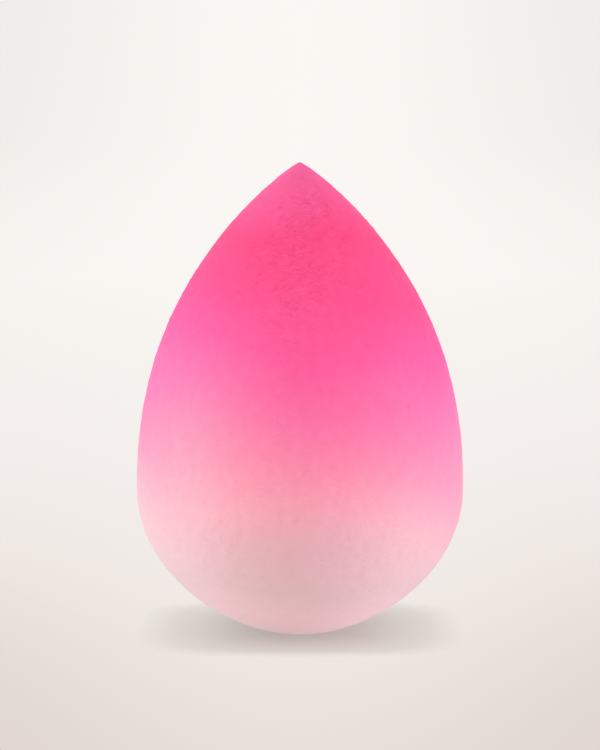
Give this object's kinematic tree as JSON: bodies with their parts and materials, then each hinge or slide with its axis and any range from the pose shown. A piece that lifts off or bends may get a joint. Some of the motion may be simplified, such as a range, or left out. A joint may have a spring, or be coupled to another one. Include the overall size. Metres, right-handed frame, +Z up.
{
  "type": "makeup sponge",
  "caption": "Teardrop makeup sponge of soft foam, hot pink at its pointed tip and pale pink at its round end, for dabbing and blending liquid or cream makeup.",
  "frame": {"origin": "centre of the flat underside that the sponge stands on", "axes": "+Z up along the sponge's axis to its tip; the shape is turned, so X and Y are alike, and the picture looks along +Y"},
  "size_m": [0.0416, 0.0416, 0.06],
  "materials": {
    "pink_foam": "matte",
    "pale_foam": "matte"
  },
  "bodies": {
    "root": {"tip_foam": "pink_foam", "base_foam": "pale_foam"}
  },
  "joints": []
}
